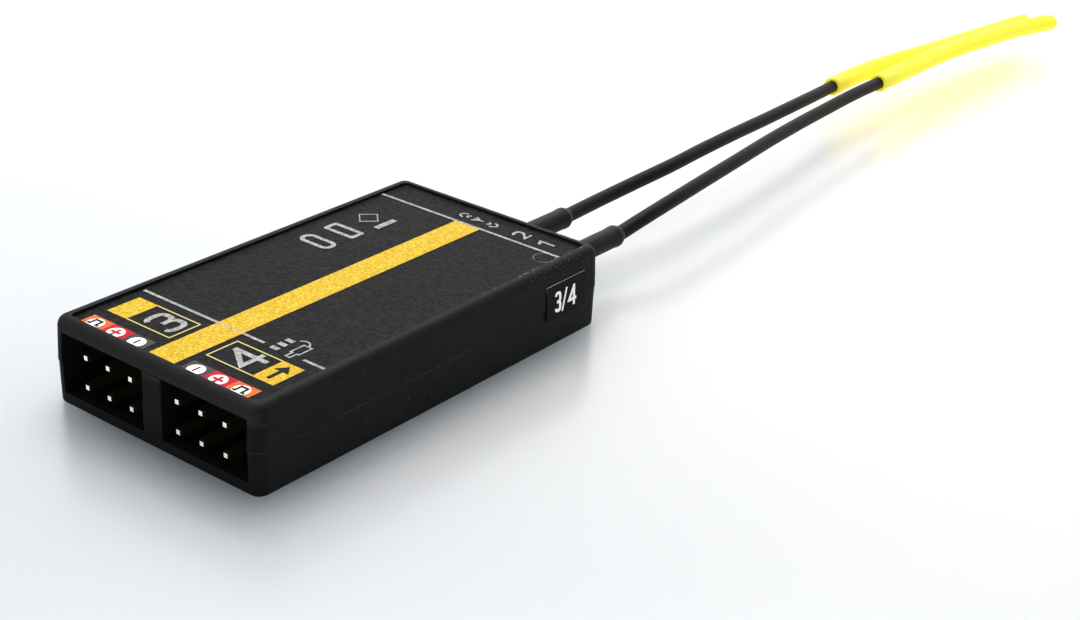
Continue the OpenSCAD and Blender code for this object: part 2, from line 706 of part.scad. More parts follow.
module chip_capacitors() color([0.7, 0.58, 0.42]) {
    for (k = [-4:4]) translate([k * cap_pitch, cap_y, board_top]) chip_part(part_l, part_l / 2, part_l / 2);
    for (x = ant_x) translate([x, board_rear - can_back / 2, board_top])
        chip_part(part_l, part_l / 2, part_l / 2);
}

module chip_resistors() color([0.12, 0.12, 0.13])
    for (k = [0:3]) translate([-3 * resistor_pitch, chip_mid + (3.6 + k) * resistor_pitch, board_z - 0.35])
        chip_part(part_l, part_l / 2, 0.35);

module status_light() color([0.85, 0.9, 0.8])
    translate([light_x - 0.05, light_y, board_top]) {
        plate(-0.4, -0.8, 0.4, 0.8, 0, 0.3, 0.05);
        translate([0, 0, 0.29]) cylinder(h = 0.3, r = 0.35, $fn = 24);
    }

module coax_ferrule(i) color([0.8, 0.68, 0.35])
    translate([ant_x[i], board_rear, ant_z]) rotate([-90, 0, 0]) cylinder(h = ferrule_l, r = ferrule_d / 2);
module coax_ferrule_1() coax_ferrule(0);
module coax_ferrule_2() coax_ferrule(1);

// Heat-shrink boot, turned about the lead, with its hand-cut end a little flared
module antenna_boot(i) color([0.05, 0.05, 0.055]) {
    r = boot_d / 2;
    bore = lead_d / 2 + fit;
    inside = rear - wall - boot_in;
    far = rear + boot_out - inside;
    translate([ant_x[i], inside, ant_z]) rotate([-90, 0, 0]) rotate_extrude()
        polygon([[bore, 0], [r - 0.1, 0], [r, 0.2], [r, far - 1.2], [r + 0.05, far - 0.85],
            [r + 0.05, far - 0.6], [r - 0.03, far - 0.45], [bore + 0.08, far - 0.1], [bore + 0.04, far],
            [bore, far]]);
}
module antenna_boot_1() antenna_boot(0);
module antenna_boot_2() antenna_boot(1);

// Coax lead, from its ferrule through the boot and into the tip sleeve
module antenna_lead(i) color([0.06, 0.06, 0.065]) {
    reach = path_length(i) - sleeve_length(i) + sleeve_grip;
    straight = rear + boot_out - lead_start;
    first = ceil(straight / ring_step);
    rings = ceil((reach - straight) / ring_step);
    swept(path_of(i), concat([for (k = [0:first]) [straight * k / first, lead_d / 2]],
        [for (k = [1:rings]) [straight + (reach - straight) * k / rings, lead_d / 2]]), 8);
}
module antenna_lead_1() antenna_lead(0);
module antenna_lead_2() antenna_lead(1);

// Yellow sleeve over the bare antenna tip: open at its mouth, shrunk closed at its end
module antenna_sleeve(i) color([0.98, 0.92, 0.12]) {
    end = path_length(i);
    mouth = end - sleeve_length(i);
    bore = lead_d / 2 + fit;
    r = sleeve_d / 2;
    rings = ceil(sleeve_length(i) / ring_step);
    span = sleeve_length(i) - 1.6;
    swept(path_of(i), concat(
        [[mouth + sleeve_grip, bore], [mouth, bore], [mouth, r - 0.06], [mouth + 0.25, r]],
        [for (k = [1:rings]) [mouth + 0.25 + span * k / rings, r]],
        [[end - 0.5, 0.9 * r], [end - 0.05, 0.62 * r]]), 12);
}
module antenna_sleeve_1() antenna_sleeve(0);
module antenna_sleeve_2() antenna_sleeve(1);

upper_case();
lower_case();
label_film();
yellow_print();
grey_print();
orange_print();
red_print();
dark_print();
white_print();
black_print();
side_sticker();
sticker_number();
pin_block_left();
pin_block_right();
pins_left();
pins_right();
pin_solder();
circuit_board();
controller_chip();
shield_can();
radio_chip();
crystal();
voltage_regulator();
tantalum_capacitors();
chip_capacitors();
chip_resistors();
status_light();
coax_ferrule_1();
coax_ferrule_2();
antenna_boot_1();
antenna_boot_2();
antenna_lead_1();
antenna_lead_2();
antenna_sleeve_1();
antenna_sleeve_2();
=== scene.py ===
import json
import math
import bpy
from bisect import bisect_right
from mathutils import Matrix, Vector, noise


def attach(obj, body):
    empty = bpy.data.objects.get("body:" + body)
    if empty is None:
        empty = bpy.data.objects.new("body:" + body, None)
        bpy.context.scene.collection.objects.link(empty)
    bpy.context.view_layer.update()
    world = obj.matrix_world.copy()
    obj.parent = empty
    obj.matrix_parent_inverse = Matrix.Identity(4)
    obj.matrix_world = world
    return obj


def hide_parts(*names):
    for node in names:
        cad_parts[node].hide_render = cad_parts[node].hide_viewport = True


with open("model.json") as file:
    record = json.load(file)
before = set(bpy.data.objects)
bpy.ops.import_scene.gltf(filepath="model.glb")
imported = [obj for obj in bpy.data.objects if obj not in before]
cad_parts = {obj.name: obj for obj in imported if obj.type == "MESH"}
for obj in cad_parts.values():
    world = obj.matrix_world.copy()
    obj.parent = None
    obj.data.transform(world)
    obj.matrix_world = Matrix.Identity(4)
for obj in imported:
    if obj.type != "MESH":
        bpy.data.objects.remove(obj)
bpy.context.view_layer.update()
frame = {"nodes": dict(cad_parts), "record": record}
nodes = frame["nodes"]
mm = 0.001
print("receiver frame loaded,", len(nodes), "nodes")

# the camera, solved for the main view, its place in mm
cameraView = {
    "place": (96.916, -100.277, 71.467),
    "looks": (-0.54733, 0.71753, -0.43078),
    "up": (-0.29819, 0.31375, 0.90147),
    "lens": 62.84,
    "sensorWidth": 36,
    "clip": (0.005, 20),
}


def makeCamera(view):
    data = bpy.data.cameras.new("mainCamera")
    data.lens = view["lens"]
    data.sensor_width = view["sensorWidth"]
    data.clip_start, data.clip_end = view["clip"]
    camera = bpy.data.objects.new("mainCamera", data)
    bpy.context.scene.collection.objects.link(camera)
    back = -Vector(view["looks"]).normalized()
    right = Vector(view["up"]).cross(back).normalized()
    turn = Matrix((right, back.cross(right), back)).transposed().to_4x4()
    camera.matrix_world = Matrix.Translation(Vector(view["place"]) * mm) @ turn
    bpy.context.scene.camera = camera


makeCamera(cameraView)
print("camera set")

# antennas, in mm: the routes have the same points as the part's source
antenna = {
    "rear": 20.2,
    "fit": 0.05,
    "tubeSides": 32,
}
leadForm = {"width": 1.37, "sides": 20, "step": 0.7, "uneven": 0.012, "wave": 0.35}
# the boot's last part: distance before its end, and growth on its outer radius or on its bore
bootForm = {
    "width": 1.96,
    "start": 18.2,
    "out": 10.0,
    "edge": 0.2,
    "plainTo": 1.5,
    "rings": 16,
    "swell": ((1.1, 0.03), (0.85, 0.05), (0.6, 0.045), (0.5, 0.0)),
    "lip": ((0.3, 0.17), (0.1, 0.06), (0.02, 0.03), (0.0, 0.0)),
    "uneven": 0.018,
    "wave": 0.6,
    "turn": 1.4,
    "evenTo": 3.5,
}
# the sleeve's tip: distance before its end, and share of its outer radius
sleeveForm = {
    "width": 2.1,
    "grip": 3.0,
    "lengths": (43.5, 44.5),
    "edge": 0.2,
    "step": 0.8,
    "tipLength": 1.3,
    "tip": ((0.9, 0.97), (0.55, 0.9), (0.25, 0.78), (0.08, 0.6), (0.01, 0.35)),
    "uneven": 0.03,
    "wave": 0.4,
    "evenTo": 0.3,
}
routes = (
    [(6, 17.9, 3.7), (6, 20.2, 3.7), (6, 26, 3.7), (6, 30, 3.7), (6.03, 30.88, 3.76),
     (6.34, 34.45, 4.42), (6.35, 39.31, 4.88), (5.99, 45.34, 5.12), (5.53, 51.39, 5.26),
     (4.83, 57.81, 5.23), (4.22, 64.2, 5.14), (3.66, 70.84, 4.99), (3.23, 77.49, 4.89),
     (2.9, 84.42, 4.68), (2.51, 91.58, 4.44), (2.19, 98.83, 4.19), (2.25, 106.01, 3.96),
     (2.62, 112.09, 3.73), (3.07, 118.02, 3.51), (3.92, 123.82, 3.23), (4.66, 126.71, 3.09)],
    [(0, 17.9, 3.7), (0, 20.2, 3.7), (0, 26, 3.7), (0, 30, 3.7), (-0.05, 31, 3.7),
     (-0.12, 35.74, 3.78), (0.18, 40.86, 4.09), (0.57, 46.45, 4.46), (0.49, 52.37, 4.64),
     (0.32, 58.37, 4.65), (0.01, 64.7, 4.5), (-0.34, 71.08, 4.37), (-0.94, 77.7, 4.08),
     (-1.47, 84.37, 3.88), (-1.59, 90.21, 3.71), (-1.19, 96.36, 3.5), (-0.51, 103.73, 3.25),
     (0.24, 111.98, 3.09), (0.99, 119.07, 3), (1.7, 124.84, 3.02)],
)


class SmoothLine:
    # a smooth line through given points, measured along its length
    perSpan = 12
    aim = 0.4

    def __init__(self, points):
        p = [Vector(q) for q in points]
        self.line = []
        for i in range(len(p) - 1):
            a, b, c, d = p[max(i - 1, 0)], p[i], p[i + 1], p[min(i + 2, len(p) - 1)]
            for k in range(self.perSpan):
                t = k / self.perSpan
                self.line.append(0.5 * (2 * b + (c - a) * t + (2 * a - 5 * b + 4 * c - d) * t ** 2
                                        + (3 * b - 3 * c + d - a) * t ** 3))
        self.line.append(p[-1])
        self.reach = [0.0]
        for a, b in zip(self.line, self.line[1:]):
            self.reach.append(self.reach[-1] + (b - a).length)
        self.length = self.reach[-1]

    def at(self, s):
        s = min(max(s, 0.0), self.length - 1e-6)
        i = bisect_right(self.reach, s) - 1
        share = (s - self.reach[i]) / (self.reach[i + 1] - self.reach[i])
        return self.line[i].lerp(self.line[i + 1], share)

    def heading(self, s):
        return (self.at(s + self.aim) - self.at(s - self.aim)).normalized()


def sweep(name, line, stations, sides, radiusAt):
    # skin over rings along a line; each station is (distance along it, radius)
    verts, faces = [], []
    for s, r in stations:
        centre, ahead = line.at(s), line.heading(s)
        side = ahead.cross(Vector((0, 0, 1))).normalized()
        over = side.cross(ahead)
        for k in range(sides):
            a = 2 * math.pi * (k + 0.5) / sides
            verts.append((centre + (side * math.cos(a) + over * math.sin(a)) * radiusAt(s, a, r)) * mm)
    for i in range(len(stations) - 1):
        for k in range(sides):
            j = (k + 1) % sides
            faces.append((i * sides + k, (i + 1) * sides + k, (i + 1) * sides + j, i * sides + j))
    last = (len(stations) - 1) * sides
    faces.append(tuple(range(sides)))
    faces.append(tuple(range(last + sides - 1, last - 1, -1)))
    mesh = bpy.data.meshes.new(name)
    mesh.from_pydata(verts, [], faces)
    mesh.update()
    piece = bpy.data.objects.new(name, mesh)
    bpy.context.scene.collection.objects.link(piece)
    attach(piece, "root")
    return piece


def smoothShade(piece, angle):
    for face in piece.data.polygons:
        face.use_smooth = True
    piece.data.set_sharp_from_angle(angle=math.radians(angle))


def ripple(s, a, wave, seed, turn=1.0):
    # slow unevenness along and round a tube, from -1 to 1, different for each seed
    return noise.noise(Vector((s * wave, turn * math.cos(a), turn * math.sin(a) + seed)))


def makeLead(number, line, form):
    # coax jacket, with the slight unevenness of extruded plastic
    reach = line.length - sleeveForm["lengths"][number - 1] + sleeveForm["grip"]
    count = round(reach / form["step"])
    stations = [(reach * k / count, form["width"] / 2) for k in range(count + 1)]

    def uneven(s, a, r):
        return r * (1 + form["uneven"] * ripple(s, a, form["wave"], 7 * number))

    lead = sweep(f"coaxLead{number}", line, stations, form["sides"], uneven)
    smoothShade(lead, 40)
    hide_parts(f"antenna_lead_{number}")
    path = [tuple(line.at(s) * mm) for s, r in stations]
    return lead, path, reach


def makeBoot(number, line, form):
    # heat-shrink boot: tight on the lead, swollen just before its steep hand-cut end
    r = form["width"] / 2
    bore = leadForm["width"] / 2 + antenna["fit"]
    lineStart = routes[number - 1][0][1]
    start = form["start"] - lineStart
    end = antenna["rear"] + form["out"] - lineStart
    span = end - form["plainTo"] - start - form["edge"]
    outside = [(start, bore), (start, r - form["edge"] / 2), (start + form["edge"], r)]
    outside += [(start + form["edge"] + span * k / form["rings"], r) for k in range(1, form["rings"] + 1)]
    outside += [(end - back, r + more) for back, more in form["swell"]]
    outside += [(end - back, bore + more) for back, more in form["lip"]]

    def uneven(s, a, size):
        # the part near the wall and the cut end keep their size
        swell = form["uneven"] * ripple(s, a, form["wave"], 11 * number, form["turn"])
        return size + swell if size > bore + 0.05 and s > start + form["evenTo"] else size

    boot = sweep(f"heatShrinkBoot{number}", line, outside, antenna["tubeSides"], uneven)
    smoothShade(boot, 50)
    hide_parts(f"antenna_boot_{number}")
    return boot


def makeSleeve(number, line, form):
    # yellow shrink sleeve: open mouth round the lead, soft ripples, closed rounded tip
    r = form["width"] / 2
    bore = leadForm["width"] / 2 + antenna["fit"]
    end = line.length
    mouth = end - form["lengths"][number - 1]
    plainFrom = mouth + form["edge"]
    span = end - form["tipLength"] - mouth - form["edge"]
    count = round(span / form["step"])
    skin = [(mouth + form["grip"], bore), (mouth + 0.02, bore), (mouth, bore + 0.06),
            (mouth, r - 0.1), (mouth + 0.05, r - 0.03), (plainFrom, r)]
    skin += [(plainFrom + span * k / count, r) for k in range(1, count + 1)]
    skin += [(end - back, share * r) for back, share in form["tip"]]

    def uneven(s, a, size):
        # the bore, the mouth and the tip keep their size
        swell = form["uneven"] * ripple(s, a, form["wave"], 17 * number)
        return size + swell - form["uneven"] if size > 0.9 * r and s > mouth + form["evenTo"] else size

    sleeve = sweep(f"yellowSleeve{number}", line, skin, antenna["tubeSides"], uneven)
    smoothShade(sleeve, 50)
    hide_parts(f"antenna_sleeve_{number}")
    return sleeve


leads, boots, sleeves = [], [], []
for number in (1, 2):
    routeLine = SmoothLine(routes[number - 1])
    lead, leadPath, leadLength = makeLead(number, routeLine, leadForm)
    leads.append(lead)
    boots.append(makeBoot(number, routeLine, bootForm))
    sleeves.append(makeSleeve(number, routeLine, sleeveForm))
print("antennas made")


# small helpers for node materials
def newMaterial(name):
    made = bpy.data.materials.new(name)
    made.use_nodes = True
    made.node_tree.nodes.clear()
    return made, made.node_tree


def add(tree, kind, **settings):
    node = tree.nodes.new(kind)
    for key, value in settings.items():
        if key in node.inputs:
            node.inputs[key].default_value = value
        else:
            setattr(node, key, value)
    return node


def link(tree, source, target):
    tree.links.new(source, target)


def feed(tree, value, socket):
    # a number is set on the socket, another node's output is linked to it
    if isinstance(value, float):
        socket.default_value = value
    else:
        link(tree, value, socket)


def newGroup(name, inputs, outputs):
    tree = bpy.data.node_groups.new(name, "ShaderNodeTree")
    for label, kind, value in inputs:
        socket = tree.interface.new_socket(label, in_out="INPUT", socket_type=kind)
        socket.default_value = value
    for label, kind in outputs:
        tree.interface.new_socket(label, in_out="OUTPUT", socket_type=kind)
    return tree, tree.nodes.new("NodeGroupInput"), tree.nodes.new("NodeGroupOutput")


def place(tree, group, **values):
    node = tree.nodes.new("ShaderNodeGroup")
    node.node_tree = group
    for key, value in values.items():
        node.inputs[key].default_value = value
    return node


def makeGrain():
    # moulded grain: fine pits and a slow change of tone, both from the place on the part
    tree, given, out = newGroup("mouldGrain", [
        ("Cell", "NodeSocketFloat", 5000.0), ("Coarse", "NodeSocketFloat", 400.0),
        ("Mix", "NodeSocketFloat", 0.5)],
        [("Height", "NodeSocketFloat"), ("Tone", "NodeSocketFloat")])
    where = add(tree, "ShaderNodeTexCoord")
    fine = add(tree, "ShaderNodeTexNoise", Detail=2.0, Roughness=0.6)
    slow = add(tree, "ShaderNodeTexNoise", Detail=3.0, Roughness=0.5)
    blend = add(tree, "ShaderNodeMix", data_type="FLOAT")
    link(tree, where.outputs["Object"], fine.inputs["Vector"])
    link(tree, where.outputs["Object"], slow.inputs["Vector"])
    link(tree, given.outputs["Cell"], fine.inputs["Scale"])
    link(tree, given.outputs["Coarse"], slow.inputs["Scale"])
    link(tree, given.outputs["Mix"], blend.inputs[0])
    link(tree, fine.outputs["Fac"], blend.inputs[2])
    link(tree, slow.outputs["Fac"], blend.inputs[3])
    link(tree, fine.outputs["Fac"], out.inputs["Height"])
    link(tree, blend.outputs[0], out.inputs["Tone"])
    return tree


def makeDust():
    # sparse pale specks, thicker where Amount is higher
    tree, given, out = newGroup("dustSpecks", [
        ("Scale", "NodeSocketFloat", 900.0), ("Amount", "NodeSocketFloat", 0.1)],
        [("Mask", "NodeSocketFloat")])
    where = add(tree, "ShaderNodeTexCoord")
    cells = add(tree, "ShaderNodeTexVoronoi", feature="F1", Randomness=1.0)
    patches = add(tree, "ShaderNodeTexNoise", Scale=260.0, Detail=2.0)
    size = add(tree, "ShaderNodeMath", operation="MULTIPLY")
    speck = add(tree, "ShaderNodeMath", operation="LESS_THAN")
    link(tree, where.outputs["Object"], cells.inputs["Vector"])
    link(tree, where.outputs["Object"], patches.inputs["Vector"])
    link(tree, given.outputs["Scale"], cells.inputs["Scale"])
    link(tree, patches.outputs["Fac"], size.inputs[0])
    link(tree, given.outputs["Amount"], size.inputs[1])
    link(tree, cells.outputs["Distance"], speck.inputs[0])
    link(tree, size.outputs["Value"], speck.inputs[1])
    link(tree, speck.outputs["Value"], out.inputs["Mask"])
    return tree


def makeBand():
    # 1 where Value lies within Half of Centre, fading over Soft
    tree, given, out = newGroup("nearBand", [
        ("Value", "NodeSocketFloat", 0.0), ("Centre", "NodeSocketFloat", 0.0),
        ("Half", "NodeSocketFloat", 0.001), ("Soft", "NodeSocketFloat", 0.0001)],
        [("Mask", "NodeSocketFloat")])
    apart = add(tree, "ShaderNodeMath", operation="SUBTRACT")
    size = add(tree, "ShaderNodeMath", operation="ABSOLUTE")
    outer = add(tree, "ShaderNodeMath", operation="ADD")
    mask = add(tree, "ShaderNodeMapRange")
    mask.inputs["To Min"].default_value = 1.0
    mask.inputs["To Max"].default_value = 0.0
    link(tree, given.outputs["Value"], apart.inputs[0])
    link(tree, given.outputs["Centre"], apart.inputs[1])
    link(tree, apart.outputs["Value"], size.inputs[0])
    link(tree, given.outputs["Half"], outer.inputs[0])
    link(tree, given.outputs["Soft"], outer.inputs[1])
    link(tree, size.outputs["Value"], mask.inputs["Value"])
    link(tree, given.outputs["Half"], mask.inputs["From Min"])
    link(tree, outer.outputs["Value"], mask.inputs["From Max"])
    link(tree, mask.outputs["Result"], out.inputs["Mask"])
    return tree


def makeBreaks():
    # patchy mask that breaks worn print and painted highlights into short pieces
    tree, given, out = newGroup("patchyBreaks", [
        ("Scale", "NodeSocketFloat", 900.0), ("Share", "NodeSocketFloat", 0.5)],
        [("Mask", "NodeSocketFloat")])
    where = add(tree, "ShaderNodeTexCoord")
    patches = add(tree, "ShaderNodeTexNoise", Detail=3.0, Roughness=0.65)
    rest = add(tree, "ShaderNodeMath", operation="SUBTRACT")
    rest.inputs[0].default_value = 1.0
    upper = add(tree, "ShaderNodeMath", operation="ADD")
    upper.inputs[1].default_value = 0.06
    mask = add(tree, "ShaderNodeMapRange")
    link(tree, where.outputs["Object"], patches.inputs["Vector"])
    link(tree, given.outputs["Scale"], patches.inputs["Scale"])
    link(tree, given.outputs["Share"], rest.inputs[1])
    link(tree, rest.outputs["Value"], upper.inputs[0])
    link(tree, patches.outputs["Fac"], mask.inputs["Value"])
    link(tree, rest.outputs["Value"], mask.inputs["From Min"])
    link(tree, upper.outputs["Value"], mask.inputs["From Max"])
    link(tree, mask.outputs["Result"], out.inputs["Mask"])
    return tree


mouldGrain = makeGrain()
dustSpecks = makeDust()
nearBand = makeBand()
patchyBreaks = makeBreaks()


def toneRamp(tree, factor, dark, light, low, high):
    ramp = add(tree, "ShaderNodeValToRGB")
    ramp.color_ramp.elements[0].position = low
    ramp.color_ramp.elements[0].color = (*dark, 1)
    ramp.color_ramp.elements[1].position = high
    ramp.color_ramp.elements[1].color = (*light, 1)
    link(tree, factor, ramp.inputs["Fac"])
    return ramp.outputs["Color"]


def axes(tree, kind="Object"):
    # x, y and z of the place on the part in metres, or with "Normal" of the surface's direction
    where = add(tree, "ShaderNodeTexCoord")
    split = add(tree, "ShaderNodeSeparateXYZ")
    link(tree, where.outputs[kind], split.inputs[0])
    return split.outputs


def band(tree, value, centre, half, soft):
    node = place(tree, nearBand, Centre=centre, Half=half, Soft=soft)
    link(tree, value, node.inputs["Value"])
    return node.outputs["Mask"]


def strip(tree, value, centre, half, soft):
    # a band on the part, its numbers in mm
    return band(tree, value, centre * mm, half * mm, soft * mm)


def brokenPieces(tree, scale, share):
    return place(tree, patchyBreaks, Scale=scale, Share=share).outputs["Mask"]


def specks(tree, scale, amount):
    return place(tree, dustSpecks, Scale=scale, Amount=amount).outputs["Mask"]


def times(tree, *masks):
    result = masks[0]
    for mask in masks[1:]:
        product = add(tree, "ShaderNodeMath", operation="MULTIPLY")
        feed(tree, result, product.inputs[0])
        feed(tree, mask, product.inputs[1])
        result = product.outputs["Value"]
    return result


def tint(tree, colour, over, mask):
    # lays a plain colour over another, as far as the mask goes
    mix = add(tree, "ShaderNodeMix", data_type="RGBA")
    mix.inputs[7].default_value = (*over, 1)
    link(tree, mask, mix.inputs[0])
    link(tree, colour, mix.inputs[6])
    return mix.outputs[2]


# the ring tone is a painted highlight on the light hole's rim
labelTones = {"holeCentre": (9.15, 15.05, 7.18), "holeRadius": 0.95, "ring": (0.2, 0.2, 0.19)}


def labelMarks(tree, colour):
    # painted highlight: a pale broken ring where the rim of the light hole presses through the film
    where = add(tree, "ShaderNodeTexCoord")
    reach = add(tree, "ShaderNodeVectorMath", operation="DISTANCE")
    reach.inputs[1].default_value = [value * mm for value in labelTones["holeCentre"]]
    link(tree, where.outputs["Object"], reach.inputs[0])
    ring = strip(tree, reach.outputs["Value"], labelTones["holeRadius"], 0.03, 0.05)
    return tint(tree, colour, labelTones["ring"], times(tree, ring, brokenPieces(tree, 700.0, 0.62), 0.8))


def yellowMarks(tree, colour):
    # thin lines of the number boxes are printed over white and look paler
    boxCentre, boxHalf, paler = 4.2, 2.64, (0.84, 0.72, 0.28)
    side = add(tree, "ShaderNodeMath", operation="ABSOLUTE")
    link(tree, axes(tree)["X"], side.inputs[0])
    return tint(tree, colour, paler, strip(tree, side.outputs["Value"], boxCentre, boxHalf, 0.02))


def greyMarks(tree, colour):
    # the grey line is thin ink: the yellow stripe under it shows through
    lineY, stripeHalf, through = -12.1, 1.3, (0.86, 0.6, 0.14)
    part = axes(tree)
    over = times(tree, strip(tree, part["X"], 0.0, stripeHalf, 0.1), strip(tree, part["Y"], lineY, 0.3, 0.1),
                 brokenPieces(tree, 3200.0, 0.55), 0.85)
    return tint(tree, colour, through, over)


# tones laid over the case: pale dust, a painted highlight on the rim edge, painted light on the front bar
# and a painted highlight on the parting line
caseTones = {"dust": (0.3, 0.3, 0.29), "edge": (0.33, 0.33, 0.32), "bar": (0.034, 0.033, 0.033),
             "parting": (0.06, 0.06, 0.062)}


def caseMarks(tree, colour):
    part = axes(tree)
    # pale dust along the top edges, thicker at the rear
    dusty = times(tree, strip(tree, part["Z"], 7.2, 0.2, 0.9), strip(tree, part["Y"], 20.5, 3.0, 16.0),
                  specks(tree, 3800.0, 0.3), 0.8)
    colour = tint(tree, colour, caseTones["dust"], dusty)
    # painted highlight: a broken pale line along the inner edge of the right-hand rim
    edge = times(tree, strip(tree, part["Z"], 7.4, 0.1, 0.04), strip(tree, part["X"], 10.34, 0.06, 0.05),
                 strip(tree, part["Y"], 12.5, 3.5, 5.0), brokenPieces(tree, 2300.0, 0.45), 0.75)
    colour = tint(tree, colour, caseTones["edge"], edge)
    # painted light: the front-facing bar over the ports is coloured paler, as if lit from the front
    forward = band(tree, axes(tree, "Normal")["Y"], -1.0, 0.25, 0.55)
    bar = times(tree, strip(tree, part["Z"], 6.9, 0.9, 0.3), forward)
    colour = tint(tree, colour, caseTones["bar"], bar)
    # painted highlight: a broken pale line where the two halves meet, on the front part only
    parting = times(tree, strip(tree, part["Z"], 3.7, 0.04, 0.04), strip(tree, part["Y"], -10.0, 12.0, 8.0),
                    brokenPieces(tree, 420.0, 0.52), 0.55)
    return tint(tree, colour, caseTones["parting"], parting)


def stickerMarks(tree, colour):
    # cut paper edge with a white core, painted brighter along the top as lit from above and painted fainter
    # and broken at the side as in shade
    paper, shadedSidePaper = (0.9, 0.9, 0.88), (0.5, 0.5, 0.48)
    turned = axes(tree, "Normal")
    colour = tint(tree, colour, paper, band(tree, turned["Z"], 1.0, 0.3, 0.1))
    side = band(tree, turned["Y"], -1.0, 0.3, 0.1)
    return tint(tree, colour, shadedSidePaper, times(tree, side, brokenPieces(tree, 900.0, 0.5), 0.6))


def sleeveMarks(tree, colour):
    # painted reflected light and shade: deeper orange where the left-hand tube faces the other one
    paintedBounceOrange = (1.0, 0.64, 0.03)
    facing = add(tree, "ShaderNodeMapRange")
    facing.inputs["From Min"].default_value = 0.1
    facing.inputs["From Max"].default_value = 0.7
    link(tree, axes(tree, "Normal")["X"], facing.inputs["Value"])
    left = strip(tree, axes(tree)["X"], -0.6, 1.6, 0.6)
    return tint(tree, colour, paintedBounceOrange, times(tree, facing.outputs["Result"], left, 0.6))


def pinMarks(tree, colour):
    # painted highlight: the bare sheared end faces are coloured near-white; painted shade: the shafts, lying
    # in the dark of the port, are coloured near-black
    bare, dark = (1.0, 0.97, 0.88), (0.009, 0.007, 0.004)
    turned = axes(tree, "Normal")
    colour = tint(tree, colour, dark, band(tree, turned["Y"], 0.0, 0.8, 0.05))
    return tint(tree, colour, bare, band(tree, turned["Y"], -1.0, 0.1, 0.05))


marks = {"label_black": labelMarks, "print_yellow": yellowMarks, "print_grey": greyMarks,
         "case_black": caseMarks, "sticker_black": stickerMarks, "gold_plate": pinMarks,
         "sleeve_yellow": sleeveMarks}


# what a finish has where it says nothing else
plainLook = {"gloss": 0.5, "metal": 0.0, "coat": 0.0, "coatRough": 0.1, "soft": 0.0, "softScale": 0.0006,
             "softTint": (1.0, 0.9, 0.3), "mix": 0.5, "spread": 0.2, "roughSpread": 0.08, "depth": 0.02,
             "dustTone": (0.35, 0.34, 0.32), "shadowTone": (1.0, 0.93, 0.72)}


def clearShadowed(tree, surface, share, tone):
    # lets part of the light through to what lies in the tube's shadow
    rays = add(tree, "ShaderNodeLightPath")
    through = add(tree, "ShaderNodeBsdfTransparent", Color=(*tone, 1))
    both = add(tree, "ShaderNodeMixShader")
    link(tree, times(tree, rays.outputs["Is Shadow Ray"], share), both.inputs[0])
    link(tree, surface, both.inputs[1])
    link(tree, through.outputs["BSDF"], both.inputs[2])
    return both.outputs["Shader"]


def grainedMaterial(name, finish):
    # one finish: two tones of a colour, moulded grain, roughness that follows it, a little dust
    look = {**plainLook, **finish}
    made, tree = newMaterial(name)
    out = add(tree, "ShaderNodeOutputMaterial")
    shader = add(tree, "ShaderNodeBsdfPrincipled")
    shader.inputs["Specular IOR Level"].default_value = look["gloss"]
    shader.inputs["Metallic"].default_value = look["metal"]
    shader.inputs["Coat Weight"].default_value = look["coat"]
    shader.inputs["Coat Roughness"].default_value = look["coatRough"]
    shader.inputs["Subsurface Weight"].default_value = look["soft"]
    shader.inputs["Subsurface Scale"].default_value = look["softScale"]
    shader.inputs["Subsurface Radius"].default_value = look["softTint"]
    grain = place(tree, mouldGrain, Cell=look["cell"], Coarse=look["coarse"], Mix=look["mix"])
    low, high = 0.5 - look["spread"], 0.5 + look["spread"]
    colour = toneRamp(tree, grain.outputs["Tone"], look["dark"], look["light"], low, high)
    if "dust" in look:
        colour = tint(tree, colour, look["dustTone"], specks(tree, look["dustScale"], look["dust"]))
    if name in marks:
        colour = marks[name](tree, colour)
    link(tree, colour, shader.inputs["Base Color"])
    # painted light: the finish's own colour glows, though the part is no lamp
    if "glow" in look:
        link(tree, colour, shader.inputs["Emission Color"])
        shader.inputs["Emission Strength"].default_value = look["glow"]
    rough = add(tree, "ShaderNodeMapRange")
    rough.inputs["To Min"].default_value = look["rough"] - look["roughSpread"]
    rough.inputs["To Max"].default_value = look["rough"] + look["roughSpread"]
    link(tree, grain.outputs["Tone"], rough.inputs["Value"])
    link(tree, rough.outputs["Result"], shader.inputs["Roughness"])
    bump = add(tree, "ShaderNodeBump")
    bump.inputs["Strength"].default_value = look["bump"]
    bump.inputs["Distance"].default_value = look["depth"] * mm
    link(tree, grain.outputs["Height"], bump.inputs["Height"])
    link(tree, bump.outputs["Normal"], shader.inputs["Normal"])
    surface = shader.outputs["BSDF"]
    if "clearShadow" in look:
        surface = clearShadowed(tree, surface, look["clearShadow"], look["shadowTone"])
    link(tree, surface, out.inputs["Surface"])
    return made


